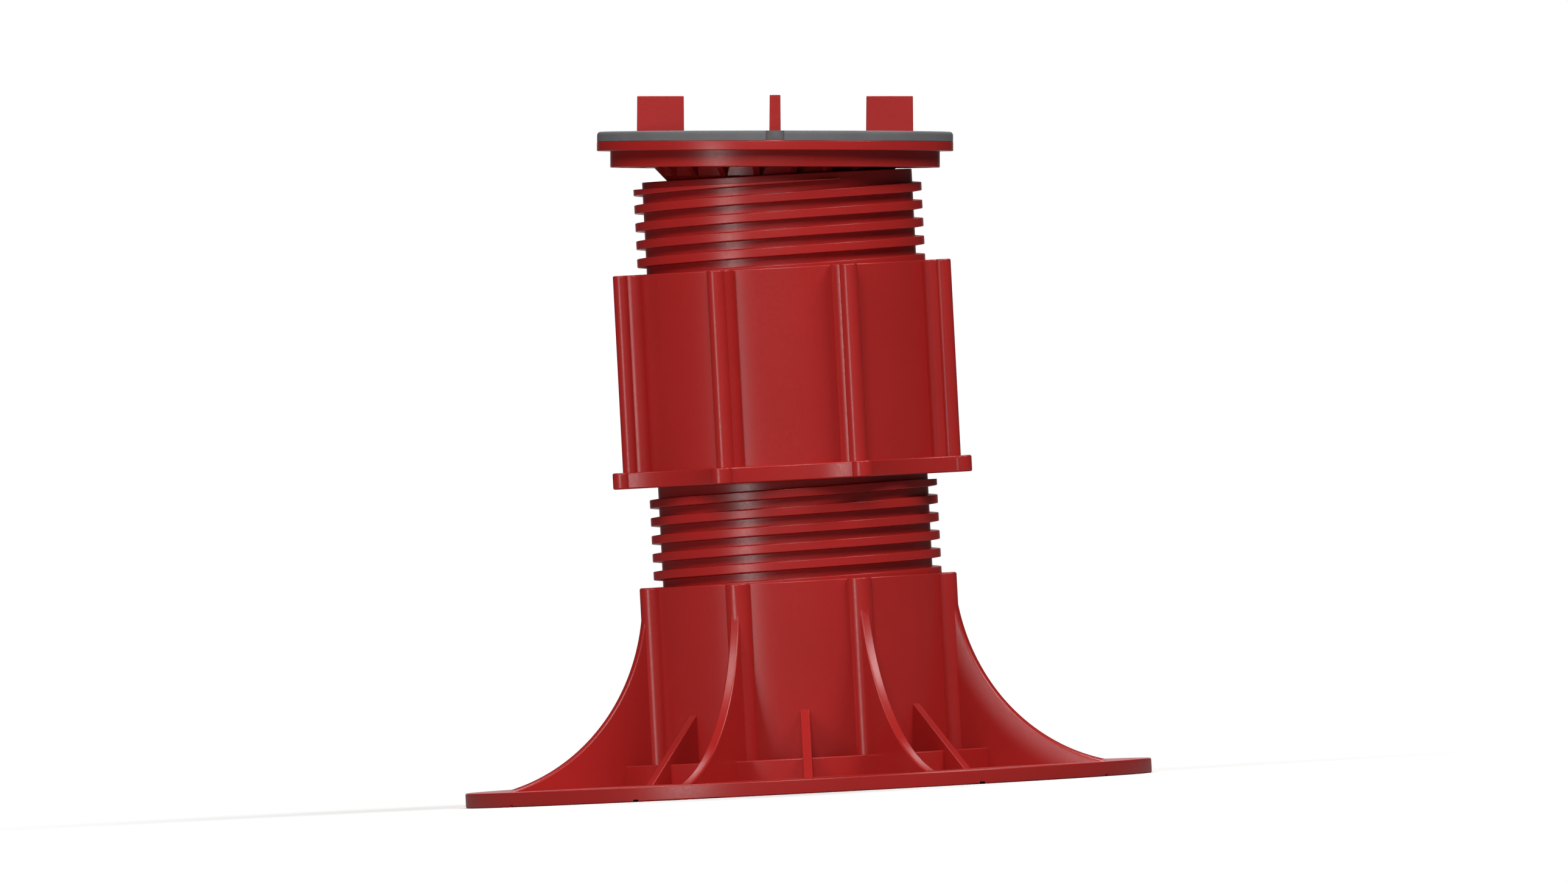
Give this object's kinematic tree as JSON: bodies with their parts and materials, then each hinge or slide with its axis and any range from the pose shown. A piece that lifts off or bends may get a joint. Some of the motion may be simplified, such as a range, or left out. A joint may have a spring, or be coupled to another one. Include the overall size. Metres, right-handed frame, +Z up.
{
  "type": "raised floor pedestal",
  "caption": "Adjustable pedestal for a raised paved floor: finned base, two jack threads in line, and a tilting head with a rubber pad and paving spacer tabs.",
  "frame": {"origin": "middle of the base's underside, on the ground", "axes": "+Z up the column, +X towards the low side of the tilted head, +Y to the back"},
  "size_m": [0.205, 0.205, 0.2096],
  "materials": {
    "red_plastic": "moulded, satin",
    "pad_rubber": "fine matt",
    "seat_plastic": "moulded, natural"
  },
  "bodies": {
    "base": {"base": "red_plastic"},
    "coupler": {"coupler": "red_plastic"},
    "seat": {"swivel_seat": "seat_plastic"},
    "screw": {"jack_screw": "red_plastic"},
    "head": {"head_plate": "red_plastic", "head_pad": "pad_rubber", "spacer_tab_1": "red_plastic", "spacer_tab_2": "red_plastic", "spacer_tab_3": "red_plastic", "spacer_tab_4": "red_plastic"}
  },
  "joints": [
    {"name": "lower_lift", "type": "slide", "parent": "base", "child": "coupler", "axis": [0, 0, 1], "range_m": [-0.0293, 0.016]},
    {"name": "upper_lift", "type": "slide", "parent": "coupler", "child": "seat", "axis": [0, 0, 1], "range_m": [-0.0265, 0.016]},
    {"name": "screw_turn", "type": "hinge", "parent": "seat", "child": "screw", "pos_m": [0, 0, 0.17], "axis": [0, 0, 1], "range_deg": [-1780, 1075]},
    {"name": "head_tilt", "type": "hinge", "parent": "seat", "child": "head", "pos_m": [0, 0, 0.1937], "axis": [0, 1, 0], "range_deg": [-6, 0]}
  ],
  "couplings": [
    {"joint": "upper_lift", "follows": "screw_turn", "m_per_rad": 0.00085148}
  ]
}
